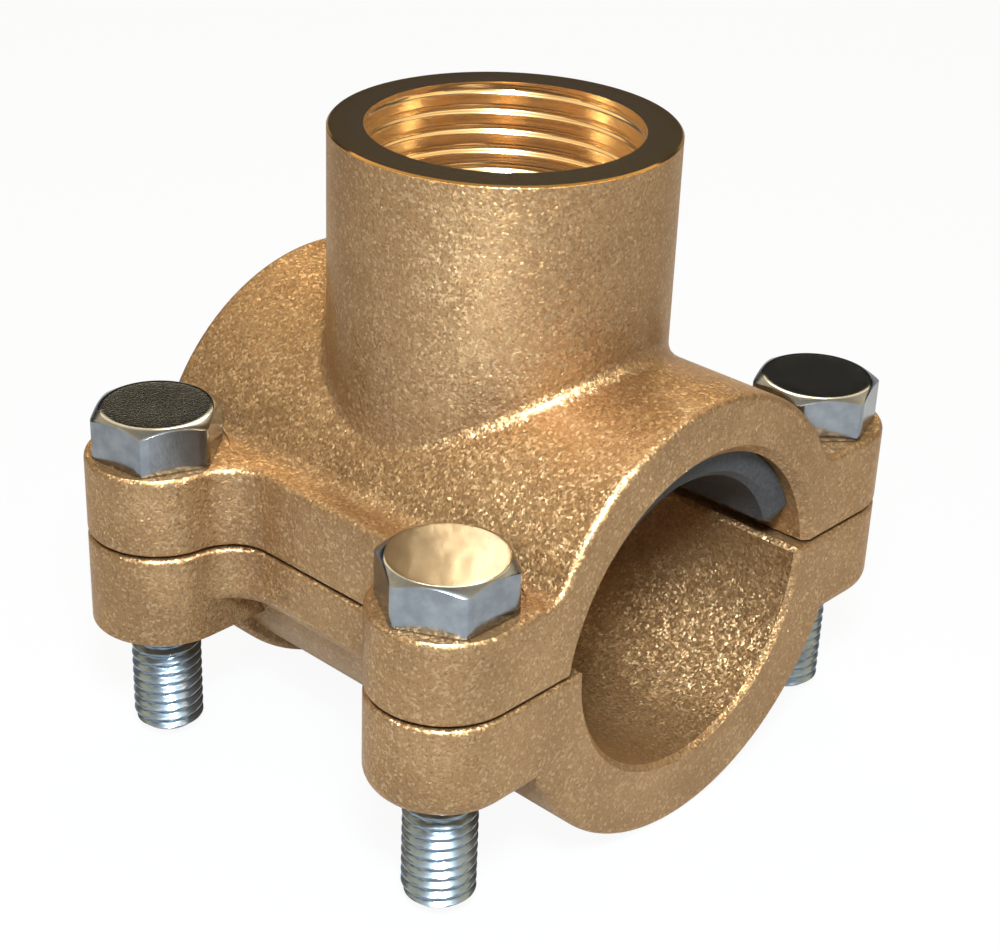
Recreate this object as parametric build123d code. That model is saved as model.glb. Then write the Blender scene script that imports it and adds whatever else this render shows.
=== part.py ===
from build123d import *

import math
import os

# A tapping saddle: two bronze half castings that bolt round a tube and give it a threaded branch.
# X runs across the tube, Y along it, and Z up the outlet boss.
# The origin is on the tube's axis, half way along the saddle.

os.makedirs("parts", exist_ok=True)

# Driving sizes, in millimetres and degrees

tube_d = 35.0                # tube that the saddle clamps
bore_clearance = 0.4         # radial room between the tube and the cast bore
joint_rise = 0.7             # joint plane above the tube's axis
split_gap = 0.4              # joint line between the closed halves

saddle_bore_r = 19.7         # upper bore, wider than the tube so that the gasket has room at its sides
saddle_crown_gap = 0.2       # upper bore's top to the tube
saddle_wall = 6.5            # over the tube, upper casting
strap_wall = 6.5             # round the bore, lower casting
band_wall = 8.1              # round the bore, at the lower casting's end bands
band_length = 10.0
flange_thickness = 9.7       # ears and flange of the upper casting, above the joint
spot_face_depth = 0.2        # machined seat under each bolt head
spot_face_margin = 0.3       # radial, seat outside the head's corners
ear_depth = 11.0             # ears of the lower casting, below the joint
side_depth = 7.4             # flange between the lower ears, below the joint
flange_ledge = 0.1           # straight side outside the end bands
saddle_root_fillet = 2.5     # flange to arch, upper casting
waist_fillet = 5.0           # ear to straight side, seen from above
saddle_edge_round = 0.8      # outer edges of the upper casting
band_round = 0.8             # both edges of each end band
ear_bottom_round = 2.0       # under the lower ears and flange
joint_edge_round = 0.5       # outer edges of both castings at the joint
strap_lip_chamfer = 0.5      # lower bore's long edges at the joint
saddle_mouth_chamfer = 1.0   # ends of the upper bore
strap_mouth_chamfer = 0.6    # ends of the lower bore

bolt_pitch_y = 44.4          # bolt spacing along the tube
bolt_outset = 3.9            # bolt line outside the straight side
ear_radius = 8.1

boss_wall = 2.125            # outlet boss, from the thread's root to the outside
boss_height = 46.2           # boss face above the tube's axis
boss_fillet = 1.6            # boss to arch, on a boss narrow enough for it
boss_fillet_share = 0.6      # largest fillet, as a share of the arch beside the boss
boss_edge = 0.2              # break on the boss face's outer edge
thread_d = 33.25             # G 1 internal thread, measured at its root
thread_depth = 20.0
thread_mouth_chamfer = 0.2
port_d = 25.0                # passage from the thread to the tube

gasket_thickness = 3.3
gasket_seat_gap = 0.1        # radial room between gasket and casting
gasket_end_inset = 2.4       # gasket end behind the casting's end face
gasket_span = 142.0          # angle that the gasket wraps round the bore
gasket_corner = 1.5
gasket_bevel = 0.7
gasket_hole_margin = 0.6     # radial, gasket hole outside the port

bolt_d = 8.0                 # M8 by 35, threaded to the tip
bolt_length = 35.0
head_across_flats = 13.0
head_height = 5.3
head_crown = 0.95            # flat top's width as a share of the head's across flats
head_chamfer_angle = 30.0
bolt_tip_chamfer = 0.9
ear_hole_clearance = 0.5     # radial, bolt in the upper ear
tapped_clearance = 0.05      # radial, bolt in the lower ear's tapped hole

# Direction of a corner of each bolt head, from +X
head_turns = {
    "bolt_rear_left": 38.0,
    "bolt_front_left": 59.3,
    "bolt_front_right": 20.0,
    "bolt_rear_right": 50.0,
}

# Sizes that follow from them

bore_r = tube_d / 2 + bore_clearance
saddle_r = bore_r + saddle_wall
strap_r = bore_r + strap_wall
band_r = bore_r + band_wall
saddle_bore_z = tube_d / 2 + saddle_crown_gap - saddle_bore_r
boss_d = thread_d + 2 * boss_wall
boss_root_fillet = min(boss_fillet, boss_fillet_share * (saddle_r - boss_d / 2))

saddle_low = joint_rise + split_gap / 2
flange_top = joint_rise + flange_thickness
strap_low = split_gap / 2 - joint_rise      # the strap is drawn upside down
ear_bottom = ear_depth - joint_rise
side_bottom = side_depth - joint_rise

head_seat = flange_top - spot_face_depth
head_corner_r = head_across_flats / math.sqrt(3)
root_x = math.sqrt((saddle_r + saddle_root_fillet) ** 2 - (flange_top + saddle_root_fillet) ** 2)
waist_x = max(root_x, band_r) + flange_ledge
bolt_x = waist_x + bolt_outset
bolt_y = bolt_pitch_y / 2
half_length = bolt_y + ear_radius
body_length = 2 * half_length

gasket_r = saddle_bore_r - gasket_seat_gap
gasket_length = body_length - 2 * gasket_end_inset

bolt_places = {
    "bolt_rear_left": (-bolt_x, bolt_y),
    "bolt_front_left": (-bolt_x, -bolt_y),
    "bolt_front_right": (bolt_x, -bolt_y),
    "bolt_rear_right": (bolt_x, bolt_y),
}

overcut = 1.0                # how far a cutting tool runs past a face
tiny = 0.01                  # tolerance when an edge is picked by its place


def bar(radius, length):
    # Round bar on the tube's axis
    return Rot(90, 0, 0) * Cylinder(radius, length)


def upright(radius, low, high):
    # Round bar along Z between two heights
    return Pos(0, 0, (low + high) / 2) * Cylinder(radius, high - low)


def plan_outline():
    # Both castings from above: straight sides, square ends and an ear at each bolt
    outline = Rectangle(2 * waist_x, body_length)
    for end in (-1, 1):
        outline += Pos(0, end * (bolt_y + ear_radius / 2)) * Rectangle(2 * bolt_x, ear_radius)
    for x, y in bolt_places.values():
        outline += Pos(x, y) * Circle(ear_radius)
    notches = [v for v in outline.vertices() if abs(v.Y) < bolt_y and abs(abs(v.X) - waist_x) < tiny]
    return fillet(notches, waist_fillet)


def ear_outline():
    # Four ears from above, each carried in to the middle
    outline = Sketch()
    for x, y in bolt_places.values():
        outline += Pos(x, y) * Circle(ear_radius)
        outline += Pos(x / 2, y) * Rectangle(bolt_x, 2 * ear_radius)
    return outline


def flange_plate(outline, low, high):
    # Flat plate whose lower outline edges are eased, as at the castings' joint
    plate = Pos(0, 0, low) * extrude(outline, high - low)
    return fillet(plate.faces().sort_by(Axis.Z)[0].edges(), joint_edge_round)


def rounded_top(plate, radius):
    return fillet(plate.faces().sort_by(Axis.Z)[-1].edges(), radius)


def above(solid, height):
    return split(solid, Plane.XY.offset(height), keep=Keep.TOP)


def at_bolts(tool):
    # The same cutting tool at all four bolts
    copies = [Pos(x, y, 0) * tool for x, y in bolt_places.values()]
    return copies[0] + copies[1:]


def root_edges(body):
    # Lines where the flat of the flange runs into the arch
    found = []
    for edge in body.edges():
        middle = edge.position_at(0.5)
        on_arch = abs(math.hypot(middle.X, middle.Z) - saddle_r) < tiny
        if on_arch and abs(middle.Z - flange_top) < tiny and edge.bounding_box().size.Y > tiny:
            found.append(edge)
    return found


def upper_rim_edges(body):
    # The flange face's outline and the arch's outline at both ends
    found = []
    for edge in body.edges():
        middle = edge.center()
        size = edge.bounding_box().size
        on_face = abs(middle.Z - flange_top) < tiny and size.Z < tiny
        inner_line = on_face and size.Y > body_length - tiny
        on_end = abs(abs(middle.Y) - half_length) < tiny and size.Y < tiny
        over_joint = middle.Z > saddle_low + tiny and size.X > tiny
        if (on_face and not inner_line) or (on_end and over_joint):
            found.append(edge)
    return found


def boss_seams(body):
    # Where the boss's side meets the arch
    found = []
    for edge in body.edges():
        point = edge.position_at(0.3)
        on_boss = abs(math.hypot(point.X, point.Y) - boss_d / 2) < tiny
        if on_boss and flange_top < edge.center().Z < saddle_r + tiny:
            found.append(edge)
    return found


def bore_cut(radius, mouth):
    # Hole along the tube, flared at both ends by the mouth's chamfer
    tool = bar(radius, body_length + overcut)
    depth = mouth + overcut
    for end in (-1, 1):
        flare = Rot(90 * end, 0, 0) * Cone(radius + depth, radius, depth)
        tool += Pos(0, end * (half_length - mouth + depth / 2), 0) * flare
    return tool


def lip_cuts(height):
    # Two square bars set on edge, one along each long edge of the bore in the joint face
    side = strap_lip_chamfer * math.sqrt(2)
    lip_x = math.sqrt(bore_r ** 2 - height ** 2)
    cutter = Rot(0, 45, 0) * Box(side, body_length + overcut, side)
    return Pos(lip_x, 0, height) * cutter + Pos(-lip_x, 0, height) * cutter


def level_circles(body, radius, height):
    return [e for e in body.edges() if e.geom_type == GeomType.CIRCLE and abs(e.radius - radius) < tiny
            and abs(e.center().Z - height) < tiny]


def upper_saddle():
    body = flange_plate(plan_outline(), saddle_low, flange_top) + above(bar(saddle_r, body_length), flange_top / 2)
    body = fillet(root_edges(body), saddle_root_fillet)
    body = fillet(upper_rim_edges(body), saddle_edge_round)
    body += upright(boss_d / 2, flange_top, boss_height)
    body = fillet(boss_seams(body), boss_root_fillet)
    body = chamfer(level_circles(body, boss_d / 2, boss_height), boss_edge)
    body -= Pos(0, 0, saddle_bore_z) * bore_cut(saddle_bore_r, saddle_mouth_chamfer)
    body -= upright(port_d / 2, 0, boss_height)
    body -= upright(thread_d / 2, boss_height - thread_depth, boss_height + overcut)
    body = chamfer(level_circles(body, thread_d / 2, boss_height), thread_mouth_chamfer)
    body -= at_bolts(upright(head_corner_r + spot_face_margin, head_seat, saddle_r))
    return body - at_bolts(upright(bolt_d / 2 + ear_hole_clearance, 0, saddle_r))


def lower_strap():
    # Drawn above the joint like the saddle, then turned over
    body = rounded_top(flange_plate(plan_outline(), strap_low, side_bottom), ear_bottom_round)
    core_low = strap_low + joint_edge_round
    ears = Pos(0, 0, core_low) * extrude(ear_outline(), ear_bottom - core_low)
    body += rounded_top(ears, ear_bottom_round)
    body += above(bar(strap_r, body_length - band_length), core_low)
    band = bar(band_r, band_length)
    band = fillet(band.edges().filter_by(GeomType.CIRCLE), band_round)
    for end in (-1, 1):
        body += above(Pos(0, end * (half_length - band_length / 2), 0) * band, core_low)
    body -= bore_cut(bore_r, strap_mouth_chamfer)
    body -= lip_cuts(strap_low)
    body -= at_bolts(upright(bolt_d / 2 + tapped_clearance, strap_low - overcut, ear_depth + overcut))
    return Rot(0, 180, 0) * body


def saddle_gasket():
    # A curved rubber pad against the upper bore, with a hole for the port
    blank = bar(gasket_r, gasket_length) - bar(gasket_r - gasket_thickness, gasket_length + overcut)
    side = (180 - gasket_span) / 2
    lip = math.radians(side)
    reach = 2 * gasket_r
    wedge = Polyline((0, 0), (reach, reach * math.tan(lip)), (reach, reach), (-reach, reach),
                     (-reach, reach * math.tan(lip)), (0, 0))
    pad = blank & extrude(Plane.XZ * make_face(wedge), gasket_length, both=True)
    corners = [e for e in pad.edges() if e.geom_type == GeomType.LINE and e.length < gasket_thickness + tiny]
    pad = fillet(corners, gasket_corner)
    inner = [f for f in pad.faces() if f.geom_type == GeomType.CYLINDER and f.radius < gasket_r - tiny
             and abs(f.radius - gasket_corner) > tiny]
    pad = Pos(0, 0, saddle_bore_z) * chamfer(inner[0].edges(), gasket_bevel)
    return pad - upright(port_d / 2 + gasket_hole_margin, 0, gasket_r + overcut)


def hex_bolt(turn):
    # Head standing on its spot face, shank down through both ears
    crown_r = head_crown * head_across_flats / 2
    chamfer_width = head_corner_r - crown_r
    blank = upright(head_corner_r, head_seat, head_seat + head_height)
    slope = chamfer_width * math.tan(math.radians(head_chamfer_angle))
    top_edge = blank.edges().sort_by(Axis.Z)[-1]
    top_face = blank.faces().sort_by(Axis.Z)[-1]
    blank = chamfer(top_edge, chamfer_width, slope, reference=top_face)
    prism = extrude(Pos(0, 0, head_seat) * RegularPolygon(head_corner_r, 6, rotation=turn), head_height)
    shank = upright(bolt_d / 2, head_seat - bolt_length, head_seat)
    shank = chamfer(shank.edges().sort_by(Axis.Z)[0], bolt_tip_chamfer)
    return (blank & prism) + shank


pieces = {
    "upper_saddle": upper_saddle(),
    "lower_strap": lower_strap(),
    "saddle_gasket": saddle_gasket(),
}
for name, (x, y) in bolt_places.items():
    pieces[name] = Pos(x, y, 0) * hex_bolt(head_turns[name])

for name, piece in pieces.items():
    export_step(piece, f"parts/{name}.step")
    print(name, round(piece.volume), piece.is_valid)
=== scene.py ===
import math

import bpy
import numpy as np
from mathutils import Matrix, Vector


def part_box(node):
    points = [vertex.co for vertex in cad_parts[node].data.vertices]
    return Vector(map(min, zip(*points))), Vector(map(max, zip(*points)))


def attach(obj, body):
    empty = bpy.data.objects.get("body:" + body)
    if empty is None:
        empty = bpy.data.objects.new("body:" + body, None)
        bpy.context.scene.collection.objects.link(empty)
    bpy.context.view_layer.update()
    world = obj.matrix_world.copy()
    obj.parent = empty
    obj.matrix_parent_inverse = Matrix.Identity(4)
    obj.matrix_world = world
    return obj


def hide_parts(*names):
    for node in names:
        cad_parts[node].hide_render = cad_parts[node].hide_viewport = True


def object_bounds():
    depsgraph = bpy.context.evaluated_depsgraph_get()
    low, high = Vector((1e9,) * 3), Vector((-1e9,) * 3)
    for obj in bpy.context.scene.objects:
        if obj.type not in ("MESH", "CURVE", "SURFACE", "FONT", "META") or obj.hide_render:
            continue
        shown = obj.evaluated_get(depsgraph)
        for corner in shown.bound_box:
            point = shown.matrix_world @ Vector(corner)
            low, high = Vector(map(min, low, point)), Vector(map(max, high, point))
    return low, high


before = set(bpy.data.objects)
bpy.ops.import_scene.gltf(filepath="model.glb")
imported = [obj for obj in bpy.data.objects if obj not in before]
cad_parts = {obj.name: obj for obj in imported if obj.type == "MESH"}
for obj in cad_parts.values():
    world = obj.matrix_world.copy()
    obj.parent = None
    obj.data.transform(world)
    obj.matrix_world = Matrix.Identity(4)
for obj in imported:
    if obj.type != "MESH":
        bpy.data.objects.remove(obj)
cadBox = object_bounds()
print("frame loaded")

mm = 0.001
headHeight = 5.3 * mm
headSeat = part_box("bolt_front_left")[1][2] - headHeight


def newMaterial(name):
    material = bpy.data.materials.new(name)
    material.use_nodes = True
    tree = material.node_tree
    return material, tree, tree.nodes["Principled BSDF"]


def newGroup(name, inputs, outputs):
    # inputs: name -> start value, outputs: name -> socket kind
    group = bpy.data.node_groups.new(name, "ShaderNodeTree")
    for label, value in inputs.items():
        socket = group.interface.new_socket(label, in_out="INPUT", socket_type="NodeSocketFloat")
        socket.default_value = value
    for label, kind in outputs.items():
        group.interface.new_socket(label, in_out="OUTPUT", socket_type=kind)
    return group, group.nodes.new("NodeGroupInput"), group.nodes.new("NodeGroupOutput")


def placeGroup(tree, group, values):
    node = tree.nodes.new("ShaderNodeGroup")
    node.node_tree = group
    for label, value in values.items():
        node.inputs[label].default_value = value
    return node


def mathNode(tree, operation, a, b=None, clamp=False):
    node = tree.nodes.new("ShaderNodeMath")
    node.operation = operation
    node.use_clamp = clamp
    for index, value in enumerate((a, b)):
        if value is None:
            continue
        if isinstance(value, (int, float)):
            node.inputs[index].default_value = value
        else:
            tree.links.new(value, node.inputs[index])
    return node.outputs[0]


def vectorNode(tree, operation, a, b):
    node = tree.nodes.new("ShaderNodeVectorMath")
    node.operation = operation
    for index, value in enumerate((a, b)):
        if isinstance(value, tuple):
            node.inputs[index].default_value = value
        else:
            tree.links.new(value, node.inputs[index])
    return node.outputs["Value" if operation == "DOT_PRODUCT" else "Vector"]


def rampNode(tree, factor, stops):
    # stops: (position, colour), linear between them
    node = tree.nodes.new("ShaderNodeValToRGB")
    ramp = node.color_ramp
    while len(ramp.elements) < len(stops):
        ramp.elements.new(1.0)
    for element, (position, colour) in zip(ramp.elements, stops):
        element.position = position
        element.color = (*colour, 1.0)
    tree.links.new(factor, node.inputs["Fac"])
    return node.outputs["Color"]


def mixColour(tree, factor, a, b):
    node = tree.nodes.new("ShaderNodeMix")
    node.data_type = "RGBA"
    for socket, value in ((node.inputs[0], factor), (node.inputs[6], a), (node.inputs[7], b)):
        if isinstance(value, (int, float)):
            socket.default_value = value
        elif isinstance(value, tuple):
            socket.default_value = (*value, 1.0)
        else:
            tree.links.new(value, socket)
    return node.outputs[2]


def mixFloat(tree, factor, a, b):
    node = tree.nodes.new("ShaderNodeMix")
    for socket, value in ((node.inputs[0], factor), (node.inputs[2], a), (node.inputs[3], b)):
        if isinstance(value, (int, float)):
            socket.default_value = value
        else:
            tree.links.new(value, socket)
    return node.outputs[0]


def noiseNode(tree, coords, scale, detail=2.0, roughness=0.5):
    node = tree.nodes.new("ShaderNodeTexNoise")
    node.inputs["Detail"].default_value = detail
    node.inputs["Roughness"].default_value = roughness
    tree.links.new(coords, node.inputs["Vector"])
    if isinstance(scale, (int, float)):
        node.inputs["Scale"].default_value = scale
    else:
        tree.links.new(scale, node.inputs["Scale"])
    return node.outputs["Fac"]


def bumpNode(tree, height, strength, distance):
    node = tree.nodes.new("ShaderNodeBump")
    node.inputs["Strength"].default_value = strength
    node.inputs["Distance"].default_value = distance
    tree.links.new(height, node.inputs["Height"])
    return node.outputs["Normal"]


def smoothStep(tree, value, low, high):
    # 0 under low, 1 over high, smooth between
    node = tree.nodes.new("ShaderNodeMapRange")
    node.interpolation_type = "SMOOTHSTEP"
    node.inputs["From Min"].default_value = low
    node.inputs["From Max"].default_value = high
    tree.links.new(value, node.inputs["Value"])
    return node.outputs["Result"]


# Sand cast skin; the scales are in cells or waves per metre
skin = {
    "swellScale": 520.0,
    "patchScale": 95.0,
    "lumpShare": 0.9,
    "swellShare": 1.1,
    "pitFrom": 0.47,             # lumps below this start to darken
    "pitFull": 0.34,
    "glintFrom": 0.70,           # cells with a random value above this start to shine
}


def buildGrainGroup():
    # Each cell is a small flat tilted its own way: the height grows with the offset
    # from the cell's middle, measured along a random direction
    group, source, out = newGroup(
        "castGrain", {"Grain Scale": 3000.0, "Cell Scale": 3500.0, "Tilt": 1.0},
        {"Height": "NodeSocketFloat", "Pits": "NodeSocketFloat", "Glints": "NodeSocketFloat",
         "Patches": "NodeSocketFloat"})
    coords = group.nodes.new("ShaderNodeTexCoord").outputs["Object"]
    cells = group.nodes.new("ShaderNodeTexVoronoi")
    group.links.new(coords, cells.inputs["Vector"])
    group.links.new(source.outputs["Cell Scale"], cells.inputs["Scale"])
    offset = vectorNode(group, "SUBTRACT", coords, cells.outputs["Position"])
    lean = vectorNode(group, "SUBTRACT", cells.outputs["Color"], (0.5, 0.5, 0.5))
    facets = vectorNode(group, "DOT_PRODUCT", offset, lean)
    facets = mathNode(group, "MULTIPLY", facets, source.outputs["Cell Scale"])
    facets = mathNode(group, "MULTIPLY", facets, source.outputs["Tilt"])
    lumps = noiseNode(group, coords, source.outputs["Grain Scale"], 3.0, 0.62)
    swell = noiseNode(group, coords, skin["swellScale"], 2.0, 0.5)
    height = mathNode(group, "ADD", facets, mathNode(group, "MULTIPLY", lumps, skin["lumpShare"]))
    height = mathNode(group, "ADD", height, mathNode(group, "MULTIPLY", swell, skin["swellShare"]))
    split = group.nodes.new("ShaderNodeSeparateColor")
    group.links.new(cells.outputs["Color"], split.inputs["Color"])
    group.links.new(height, out.inputs["Height"])
    group.links.new(smoothStep(group, lumps, skin["pitFrom"], skin["pitFull"]), out.inputs["Pits"])
    group.links.new(smoothStep(group, split.outputs[1], skin["glintFrom"], 1.0), out.inputs["Glints"])
    group.links.new(noiseNode(group, coords, skin["patchScale"], 3.0, 0.6), out.inputs["Patches"])
    return group


def buildTurnedGroup():
    # Turned face: fine rings round the outlet's axis, from the distance to it
    group, source, out = newGroup("turnedRings", {"Ring Scale": 5200.0}, {"Height": "NodeSocketFloat"})
    coords = group.nodes.new("ShaderNodeTexCoord").outputs["Object"]
    axes = group.nodes.new("ShaderNodeSeparateXYZ")
    group.links.new(coords, axes.inputs[0])
    across = mathNode(group, "MULTIPLY", axes.outputs[0], axes.outputs[0])
    along = mathNode(group, "MULTIPLY", axes.outputs[1], axes.outputs[1])
    radius = mathNode(group, "SQRT", mathNode(group, "ADD", across, along))
    join = group.nodes.new("ShaderNodeCombineXYZ")
    group.links.new(radius, join.inputs[0])
    group.links.new(axes.outputs[2], join.inputs[2])
    rings = noiseNode(group, join.outputs[0], source.outputs["Ring Scale"], 2.0, 0.6)
    group.links.new(rings, out.inputs["Height"])
    return group


castGrain = buildGrainGroup()
turnedRings = buildTurnedGroup()

bronze = {
    "deep": (0.215, 0.116, 0.049),
    "body": (0.310, 0.178, 0.079),
    "pale": (0.430, 0.268, 0.130),
    "pit": (0.130, 0.070, 0.028),
    "pitShare": 0.60,
    "glint": (0.85, 0.66, 0.40),
    "glintShare": 0.22,
    "turned": (0.46, 0.25, 0.070),
    "grainScale": 3600.0,
    "cellScale": 3300.0,
    "tilt": 1.25,
    "bumpStrength": 1.0,
    "bumpDistance": 0.00010,
    "roughness": 0.47,           # of the grains
    "glintRoughness": 0.36,
    "turnedRoughness": 0.07,
    "metallic": 0.94,
    "turnedMetallic": 0.98,
    "edgeTint": (0.90, 0.66, 0.42),
    "coat": 0.40,                # clear film, which keeps the strongest highlights near white
    "coatRoughness": 0.27,
    "evenShare": 0.55,           # how far the patches give way to the body colour
    "ringShare": 0.05,           # height of the turned rings on the boss's face
    "turnedFrom": 0.30 * mm,     # depth under the boss's face where the turned finish starts
    "turnedFull": 0.16 * mm,
}


def castBronze():
    # Cast skin all over, and a turned finish on the boss's face
    material, tree, shader = newMaterial("castBronze")
    sizes = {"Grain Scale": bronze["grainScale"], "Cell Scale": bronze["cellScale"], "Tilt": bronze["tilt"]}
    grain = placeGroup(tree, castGrain, sizes)
    tone = rampNode(tree, grain.outputs["Patches"],
                    [(0.32, bronze["deep"]), (0.50, bronze["body"]), (0.72, bronze["pale"])])
    tone = mixColour(tree, bronze["evenShare"], tone, bronze["body"])
    for mask, share, colour in (("Pits", "pitShare", "pit"), ("Glints", "glintShare", "glint")):
        amount = mathNode(tree, "MULTIPLY", grain.outputs[mask], bronze[share])
        tone = mixColour(tree, amount, tone, bronze[colour])
    coords = tree.nodes.new("ShaderNodeTexCoord").outputs["Object"]
    axes = tree.nodes.new("ShaderNodeSeparateXYZ")
    tree.links.new(coords, axes.inputs[0])
    top = cadBox[1][2]
    bossFace = smoothStep(tree, axes.outputs[2], top - bronze["turnedFrom"], top - bronze["turnedFull"])
    rings = placeGroup(tree, turnedRings, {})
    tone = mixColour(tree, bossFace, tone, bronze["turned"])
    drop = bronze["roughness"] - bronze["glintRoughness"]
    shine = mathNode(tree, "MULTIPLY", grain.outputs["Glints"], drop)
    rough = mathNode(tree, "SUBTRACT", bronze["roughness"], shine)
    rough = mixFloat(tree, bossFace, rough, bronze["turnedRoughness"])
    lathe = mathNode(tree, "MULTIPLY", rings.outputs[0], bronze["ringShare"])
    height = mixFloat(tree, bossFace, grain.outputs["Height"], lathe)
    tree.links.new(tone, shader.inputs["Base Color"])
    tree.links.new(rough, shader.inputs["Roughness"])
    metallic = mixFloat(tree, bossFace, bronze["metallic"], bronze["turnedMetallic"])
    tree.links.new(metallic, shader.inputs["Metallic"])
    shader.inputs["Specular Tint"].default_value = (*bronze["edgeTint"], 1.0)
    shader.inputs["Coat Weight"].default_value = bronze["coat"]
    shader.inputs["Coat Roughness"].default_value = bronze["coatRoughness"]
    normal = bumpNode(tree, height, bronze["bumpStrength"], bronze["bumpDistance"])
    tree.links.new(normal, shader.inputs["Normal"])
    return material


wall = {
    "tones": [(0.30, (0.62, 0.38, 0.15)), (0.65, (0.88, 0.64, 0.34))],
    "ringScale": 4200.0,
    "roughness": 0.20,
    "flatFrom": 0.03 * mm,       # depth under the boss's face where the flat end starts
    "flatFull": 0.01 * mm,
    "flatRings": 0.3,
    "bumpStrength": 0.35,
    "bumpDistance": 0.00006,
}


def turnedBronze():
    # Bright turned wall of the outlet; its flat end has the same finish as the boss's face
    material, tree, shader = newMaterial("turnedBronze")
    rings = placeGroup(tree, turnedRings, {"Ring Scale": wall["ringScale"]})
    tone = rampNode(tree, rings.outputs[0], wall["tones"])
    axes = tree.nodes.new("ShaderNodeSeparateXYZ")
    tree.links.new(tree.nodes.new("ShaderNodeTexCoord").outputs["Object"], axes.inputs[0])
    top = cadBox[1][2]
    flatEnd = smoothStep(tree, axes.outputs[2], top - wall["flatFrom"], top - wall["flatFull"])
    tree.links.new(mixColour(tree, flatEnd, tone, bronze["turned"]), shader.inputs["Base Color"])
    rough = mixFloat(tree, flatEnd, wall["roughness"], bronze["turnedRoughness"])
    tree.links.new(rough, shader.inputs["Roughness"])
    height = mathNode(tree, "MULTIPLY", rings.outputs[0], mixFloat(tree, flatEnd, 1.0, wall["flatRings"]))
    shader.inputs["Metallic"].default_value = bronze["turnedMetallic"]
    shader.inputs["Coat Weight"].default_value = bronze["coat"]
    shader.inputs["Coat Roughness"].default_value = bronze["coatRoughness"]
    normal = bumpNode(tree, height, wall["bumpStrength"], wall["bumpDistance"])
    tree.links.new(normal, shader.inputs["Normal"])
    return material


zinc = {
    "top": [(0.30, (0.46, 0.48, 0.50)), (0.70, (0.54, 0.56, 0.57))],
    # hex faces of the heads: the zinc painted darker and bluer than the tops, painted shade
    "sides": [(0.35, (0.215, 0.230, 0.255)), (0.65, (0.295, 0.315, 0.340))],
    # rolled threads: the zinc painted darker and bluer as well, painted shade
    "thread": [(0.30, (0.20, 0.25, 0.31)), (0.70, (0.28, 0.34, 0.40))],
    "topRoughness": 0.08,
    "sideRoughness": 0.20,
    "threadRoughness": 0.30,
    "cloudScale": 420.0,
    "fineScale": 3800.0,
    "topBand": (0.08 * mm, 0.04 * mm),     # depths under the head's top between which its sides give way
    "seatBand": 0.3 * mm,
    "bumpStrength": 0.12,
    "bumpDistance": 0.00005,
}


def zincSteel():
    # Bright zinc with faint cloudy patches: smooth on the heads' tops, rougher on their hex faces and on
    # the rolled threads; the hex faces and threads are painted darker and bluer than the tops, painted
    # shade for the dim surroundings they mirror
    material, tree, shader = newMaterial("zincSteel")
    coords = tree.nodes.new("ShaderNodeTexCoord").outputs["Object"]
    axes = tree.nodes.new("ShaderNodeSeparateXYZ")
    tree.links.new(coords, axes.inputs[0])
    clouds = noiseNode(tree, coords, zinc["cloudScale"], 3.0, 0.6)
    fine = noiseNode(tree, coords, zinc["fineScale"], 2.0, 0.6)
    headTop = headSeat + headHeight
    isTop = smoothStep(tree, axes.outputs[2], headTop - zinc["topBand"][0], headTop - zinc["topBand"][1])
    isHead = smoothStep(tree, axes.outputs[2], headSeat - zinc["seatBand"], headSeat)
    # darker painted-shade tone on the hex faces and threads, lighter tone on the tops
    shadedSideTone, topTone = rampNode(tree, clouds, zinc["sides"]), rampNode(tree, clouds, zinc["top"])
    headTone = mixColour(tree, isTop, shadedSideTone, topTone)
    headRough = mixFloat(tree, isTop, zinc["sideRoughness"], zinc["topRoughness"])
    tone = mixColour(tree, isHead, rampNode(tree, clouds, zinc["thread"]), headTone)
    tree.links.new(tone, shader.inputs["Base Color"])
    rough = mixFloat(tree, isHead, zinc["threadRoughness"], headRough)
    tree.links.new(rough, shader.inputs["Roughness"])
    shader.inputs["Metallic"].default_value = 1.0
    normal = bumpNode(tree, fine, zinc["bumpStrength"], zinc["bumpDistance"])
    tree.links.new(normal, shader.inputs["Normal"])
    return material


rubber = {
    "tones": [(0.35, (0.009, 0.009, 0.010)), (0.70, (0.028, 0.027, 0.029))],
    "fineScale": 2600.0,
    "roughness": 0.62,
    "bumpStrength": 0.35,
    "bumpDistance": 0.00008,
}


def blackRubber():
    material, tree, shader = newMaterial("blackRubber")
    coords = tree.nodes.new("ShaderNodeTexCoord").outputs["Object"]
    fine = noiseNode(tree, coords, rubber["fineScale"], 3.0, 0.6)
    tree.links.new(rampNode(tree, fine, rubber["tones"]), shader.inputs["Base Color"])
    shader.inputs["Roughness"].default_value = rubber["roughness"]
    normal = bumpNode(tree, fine, rubber["bumpStrength"], rubber["bumpDistance"])
    tree.links.new(normal, shader.inputs["Normal"])
    return material


materials = {
    "cast_bronze": castBronze(),
    "turned_bronze": turnedBronze(),
    "zinc_steel": zincSteel(),
    "black_rubber": blackRubber(),
}
print("materials made")

finishes = {"upper_saddle": "cast_bronze", "lower_strap": "cast_bronze", "saddle_gasket": "black_rubber"}
for name, finish in finishes.items():
    node = bpy.data.objects[name]
    for place in node.material_slots:
        place.material = materials[finish]


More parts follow.
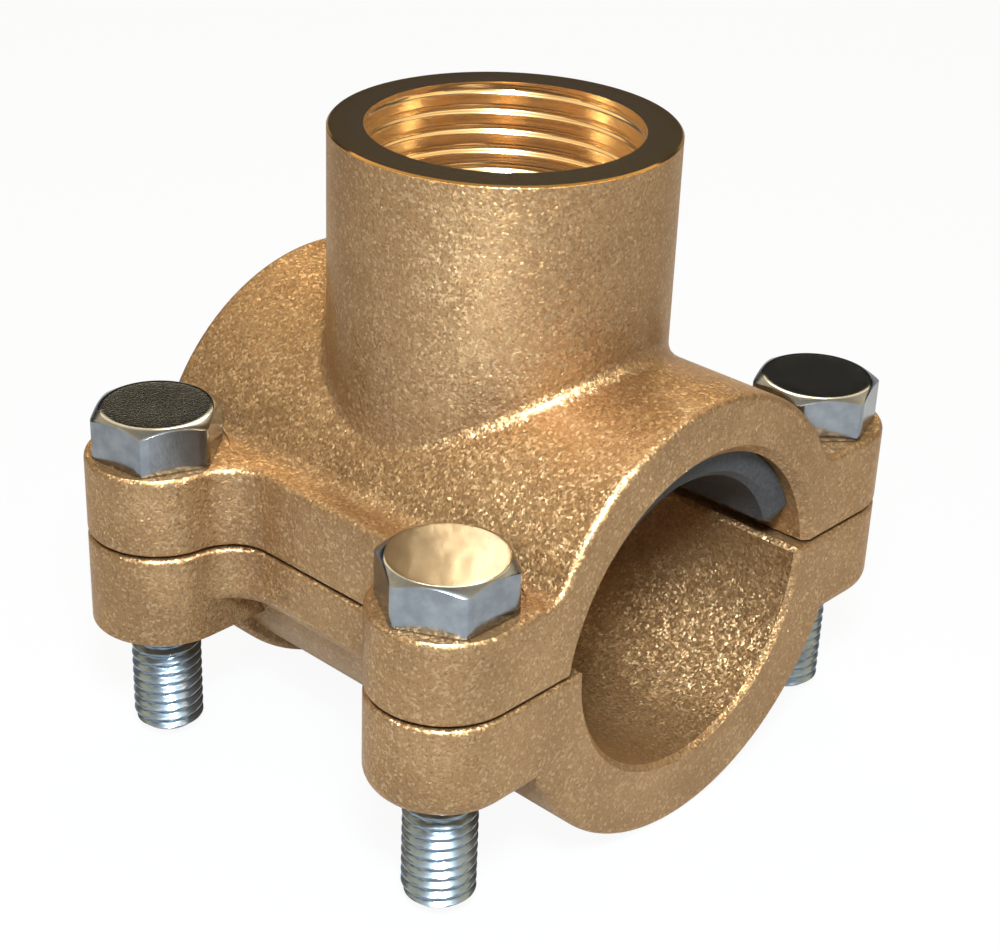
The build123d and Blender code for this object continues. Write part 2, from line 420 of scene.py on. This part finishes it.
def gridMesh(name, points, capEnds=False):
    # points[i, j]: i goes along the profile, j around; faces join neighbours, and ends may close on a fan
    rows, columns = points.shape[:2]
    verts = points.reshape(-1, 3)
    i = np.arange(rows - 1)[:, None]
    j = np.arange(columns)[None, :]
    a = i * columns + j
    b = i * columns + (j + 1) % columns
    c = (i + 1) * columns + (j + 1) % columns
    d = (i + 1) * columns + j
    quads = np.stack([a, b, c, d], axis=-1).reshape(-1, 4)
    loops = [quads.reshape(-1)]
    totals = [np.full(len(quads), 4)]
    ring = np.arange(columns)
    if capEnds:
        hub = len(verts)
        verts = np.vstack([verts, points[0].mean(axis=0)])
        loops.append(np.stack([np.full(columns, hub), (ring + 1) % columns, ring], axis=-1).reshape(-1))
        totals.append(np.full(columns, 3))
        hub = len(verts)
        base = (rows - 1) * columns
        verts = np.vstack([verts, points[-1].mean(axis=0)])
        fan = np.stack([np.full(columns, hub), base + ring, base + (ring + 1) % columns], axis=-1)
        loops.append(fan.reshape(-1))
        totals.append(np.full(columns, 3))
    loops, totals = np.concatenate(loops), np.concatenate(totals)
    mesh = bpy.data.meshes.new(name)
    mesh.vertices.add(len(verts))
    mesh.vertices.foreach_set("co", verts.astype(np.float32).reshape(-1))
    mesh.loops.add(len(loops))
    mesh.loops.foreach_set("vertex_index", loops.astype(np.int32))
    mesh.polygons.add(len(totals))
    mesh.polygons.foreach_set("loop_start", (np.cumsum(totals) - totals).astype(np.int32))
    mesh.polygons.foreach_set("loop_total", totals.astype(np.int32))
    mesh.update(calc_edges=True)
    mesh.validate()
    return mesh


def addPiece(name, mesh, material, body, sharpAngle=35):
    piece = bpy.data.objects.new(name, mesh)
    bpy.context.scene.collection.objects.link(piece)
    mesh.materials.append(material)
    mesh.polygons.foreach_set("use_smooth", np.ones(len(mesh.polygons), dtype=bool))
    mesh.set_sharp_from_angle(angle=math.radians(sharpAngle))
    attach(piece, body)
    return piece


def around(radius, height, angle):
    return np.stack([radius * np.cos(angle), radius * np.sin(angle), height + 0 * angle], axis=-1)


def threadWave(phase, crestFlat, rootFlat):
    # 0 at the root, 1 on the crest, straight flanks between, one period a turn
    share = np.abs((phase % 1.0) * 2 - 1)
    return np.clip((share - rootFlat) / (1 - rootFlat - crestFlat), 0, 1)


# Hex bolts, threaded to the tip
bolt = {
    "acrossFlats": 13.0 * mm,
    "headHeight": headHeight,
    "crownShare": 0.95,
    "chamferSlope": math.tan(math.radians(30)),
    "cornerRound": 0.20 * mm,
    "dish": 0.02 * mm,
    "crest": 3.97 * mm,
    "root": 3.42 * mm,
    "pitch": 1.25 * mm,
    "tipRadius": 3.1 * mm,
    "collar": 0.6 * mm,
    "cornerEase": 0.6,           # share of each corner past its limit that is taken off
    "tipSlope": 1.1,
    "crestFlat": 0.14,           # shares of the pitch
    "rootFlat": 0.16,
    "dishRings": (0.02, 0.3, 0.55, 0.72, 0.82, 0.88),      # shares of the flat's half width
    "turns": {
        "bolt_rear_left": 38.0,
        "bolt_front_left": 59.3,
        "bolt_front_right": 20.0,
        "bolt_rear_right": 50.0,
    },
    "around": 96,
    "stepsPerPitch": 12,
}


def boltMesh(name, centre, seat, tip, turn):
    # Head: radius(angle) of a hexagon with eased corners, top falling on a cone past the crown circle
    angle = np.linspace(0, 2 * np.pi, bolt["around"], endpoint=False)
    flat = bolt["acrossFlats"] / 2
    off = (angle - math.radians(turn)) % (np.pi / 3) - np.pi / 6
    hexagon = flat / np.cos(off)
    cornerLimit = flat / math.cos(math.pi / 6) - bolt["cornerRound"]
    outline = hexagon - np.maximum(hexagon - cornerLimit, 0) * bolt["cornerEase"]
    crown = flat * bolt["crownShare"]
    top = seat + bolt["headHeight"]
    shoulder = top - (outline - crown) * bolt["chamferSlope"]
    rows = [around(flat * share, top - bolt["dish"] * (1 - (share / bolt["crownShare"]) ** 4), angle)
            for share in bolt["dishRings"]]
    # Head's edges, from its crown down to its seat, each softened by a tenth of a millimetre or so
    edges = (
        (crown - 0.12 * mm, top),
        (crown, top - 0.02 * mm),
        (crown + (outline - crown) * 0.5, (top + shoulder) / 2),
        (outline - 0.10 * mm, shoulder + 0.04 * mm),
        (outline, shoulder - 0.07 * mm),
        (outline, seat + 0.15 * mm),
        (outline - 0.12 * mm, seat + 0.02 * mm),
        (bolt["crest"], seat),
    )
    rows += [around(radius, height, angle) for radius, height in edges]
    # Shank: radius swings between root and crest as height and angle advance together, a right-hand helix
    count = int(round((seat - tip) / bolt["pitch"] * bolt["stepsPerPitch"]))
    heights = np.linspace(seat - bolt["collar"], tip, count)[:, None]
    spin = angle[None, :]
    wave = threadWave(heights / bolt["pitch"] - spin / (2 * np.pi), bolt["crestFlat"], bolt["rootFlat"])
    radius = bolt["root"] + (bolt["crest"] - bolt["root"]) * wave
    radius = np.minimum(radius, bolt["tipRadius"] + (heights - tip) * bolt["tipSlope"])
    shank = around(radius, heights, spin)
    points = np.concatenate([np.stack(rows), shank])
    points[..., 0] += centre[0]
    points[..., 1] += centre[1]
    return gridMesh(name, points[::-1], capEnds=True)


for name, turn in bolt["turns"].items():
    low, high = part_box(name)
    boltLow, boltHigh = Vector(low), Vector(high)
    centre = (boltLow + boltHigh) / 2          # a hexagon's box is centred on the bolt's axis
    seat = boltHigh.z - bolt["headHeight"]
    mesh = boltMesh(name + "Mesh", centre, seat, boltLow.z, turn)
    piece = addPiece(name + "_steel", mesh, materials["zinc_steel"], name, 28)
    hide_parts(name)
print("bolts made")


# Internal thread of the outlet, a ring that fills the wall out to the thread's root
outlet = {
    "rootRadius": 15.25 * mm,
    "crestRadius": 14.90 * mm,
    "crestFlat": 0.55,           # shares of the pitch
    "rootFlat": 0.10,
    "pitch": 2.309 * mm,
    "depth": 19.6 * mm,
    "backRadius": 16.625 * mm,
    "lip": 0.19 * mm,            # fills the chamfer at the mouth
    "mouthShare": 0.5,           # of a pitch, where the thread fades
    "around": 180,
    "stepsPerPitch": 16,
}


def outletThreadMesh():
    # Inside radius swings between crest and root as height and angle advance; the thread
    # fades to its crest near the mouth, and the back is a plain cylinder with a lip
    top = cadBox[1][2]
    bottom = top - outlet["depth"]
    angle = np.linspace(0, 2 * np.pi, outlet["around"], endpoint=False)[None, :]
    count = int(outlet["depth"] / outlet["pitch"] * outlet["stepsPerPitch"])
    heights = np.linspace(bottom, top, count)[:, None]
    turns = heights / outlet["pitch"] - angle / (2 * np.pi)
    wave = threadWave(turns, outlet["crestFlat"], outlet["rootFlat"])
    wave = np.maximum(wave, 1 - np.clip((top - heights) / (outlet["mouthShare"] * outlet["pitch"]), 0, 1))
    radius = outlet["rootRadius"] - (outlet["rootRadius"] - outlet["crestRadius"]) * wave
    inner = around(radius, heights, angle)
    spin = angle[0]
    back = np.stack([around(outlet["backRadius"] + outlet["lip"], top, spin),
                     around(outlet["backRadius"], top - outlet["lip"], spin),
                     around(outlet["backRadius"], bottom, spin)])
    points = np.concatenate([inner, back, inner[:1]])
    return gridMesh("outletThreadMesh", points[::-1])


addPiece("outlet_thread_ring", outletThreadMesh(), materials["turned_bronze"], "saddle", 40)
print("outlet thread made")


studio = {
    "floorSize": 6.0,
    "floorWhite": 0.30,
    "floorShine": 0.94,          # share of the floor that shows plain white
    "floorInMetal": 0.35,        # the same share where metal mirrors it
    "backdropWhite": 0.96,
    "lampTarget": (0, 0, 0.012),
    "worldBands": [              # sine of the height above the horizon, colour
        (0.0, (0.55, 0.56, 0.58)),
        (0.17, (0.50, 0.51, 0.53)),
        (0.25, (0.02, 0.02, 0.02)),
        (0.452, (0.02, 0.02, 0.02)),
        (0.488, (1.60, 1.32, 0.84)),
        (1.0, (0.55, 0.46, 0.32)),
    ],
    "lamps": {                   # place, size, power, tint
        "keyLamp": ((-0.1526, -0.1474, 0.2121), 0.06, 3.60, (0.80, 0.92, 1.0)),
        "fillLamp": ((0.24, 0.20, 0.40), 0.22, 1.1, (1.0, 0.86, 0.58)),
    },
}


def buildFloor():
    material, tree, shader = newMaterial("floorWhite")
    shader.inputs["Base Color"].default_value = (studio["floorWhite"],) * 3 + (1.0,)
    shader.inputs["Roughness"].default_value = 0.9
    shader.inputs["Specular IOR Level"].default_value = 0.0
    rays = tree.nodes.new("ShaderNodeLightPath")
    mirrored = mathNode(tree, "MULTIPLY", rays.outputs["Is Glossy Ray"], studio["floorInMetal"])
    seen = mathNode(tree, "ADD", rays.outputs["Is Camera Ray"], mirrored, clamp=True)
    seen = mathNode(tree, "ADD", seen, rays.outputs["Is Transmission Ray"], clamp=True)
    seen = mathNode(tree, "MULTIPLY", seen, studio["floorShine"])
    glow = tree.nodes.new("ShaderNodeEmission")
    blend = tree.nodes.new("ShaderNodeMixShader")
    tree.links.new(seen, blend.inputs[0])
    tree.links.new(shader.outputs[0], blend.inputs[1])
    tree.links.new(glow.outputs[0], blend.inputs[2])
    tree.links.new(blend.outputs[0], tree.nodes["Material Output"].inputs["Surface"])
    half, level = studio["floorSize"] / 2, cadBox[0][2]
    mesh = bpy.data.meshes.new("studioFloorMesh")
    corners = [(x * half, y * half, level) for x, y in ((-1, -1), (1, -1), (1, 1), (-1, 1))]
    mesh.from_pydata(corners, [], [(0, 1, 2, 3)])
    mesh.materials.append(material)
    floor = bpy.data.objects.new("studioFloor", mesh)
    bpy.context.scene.collection.objects.link(floor)


def buildWorld():
    # Brightness by height only: pale low down, a dark band, a warm ceiling; white where the camera sees it
    world = bpy.data.worlds.new("studioWorld")
    world.use_nodes = True
    tree = world.node_tree
    background = tree.nodes["Background"]
    axes = tree.nodes.new("ShaderNodeSeparateXYZ")
    tree.links.new(tree.nodes.new("ShaderNodeTexCoord").outputs["Generated"], axes.inputs[0])
    tone = rampNode(tree, axes.outputs[2], studio["worldBands"])
    seen = tree.nodes.new("ShaderNodeLightPath").outputs["Is Camera Ray"]
    tree.links.new(mixColour(tree, seen, tone, (studio["backdropWhite"],) * 3), background.inputs["Color"])
    bpy.context.scene.world = world


def buildLamps():
    for name, (place, size, power, tint) in studio["lamps"].items():
        data = bpy.data.lights.new(name, "AREA")
        data.shape = "SQUARE"
        data.size = size
        data.energy = power
        data.color = tint
        light = bpy.data.objects.new(name, data)
        light.location = place
        light.visible_camera = False
        aim = Vector(studio["lampTarget"]) - Vector(place)
        light.rotation_euler = aim.to_track_quat("-Z", "Y").to_euler()
        bpy.context.scene.collection.objects.link(light)


view = {
    "azimuth": -47.148,
    "elevation": 27.322,
    "roll": 2.081,
    "distance": 0.2095,
    "target": (-0.02074, -0.01780, 0.02067),
    "lens": 76.39,
    "shift": (0.0168, -0.0131),
}


def buildCamera():
    # Looks at the target from azimuth and elevation, turned about its own axis by the roll
    a, e, r = (math.radians(view[key]) for key in ("azimuth", "elevation", "roll"))
    back = Vector((math.sin(a) * math.cos(e), -math.cos(a) * math.cos(e), math.sin(e)))
    right = Vector((math.cos(a), math.sin(a), 0))
    up = back.cross(right)
    rolledRight = math.cos(r) * right + math.sin(r) * up
    rolledUp = math.cos(r) * up - math.sin(r) * right
    data = bpy.data.cameras.new("studioCamera")
    data.sensor_width = 36
    data.lens = view["lens"]
    data.shift_x, data.shift_y = view["shift"]
    data.clip_start = 0.01
    camera = bpy.data.objects.new("studioCamera", data)
    camera.matrix_world = Matrix((
        (rolledRight.x, rolledUp.x, back.x, view["target"][0] + back.x * view["distance"]),
        (rolledRight.y, rolledUp.y, back.y, view["target"][1] + back.y * view["distance"]),
        (rolledRight.z, rolledUp.z, back.z, view["target"][2] + back.z * view["distance"]),
        (0, 0, 0, 1)))
    bpy.context.scene.collection.objects.link(camera)
    bpy.context.scene.camera = camera


buildFloor()
buildWorld()
buildLamps()
buildCamera()
bpy.context.scene.view_settings.view_transform = "Standard"
print("studio made")
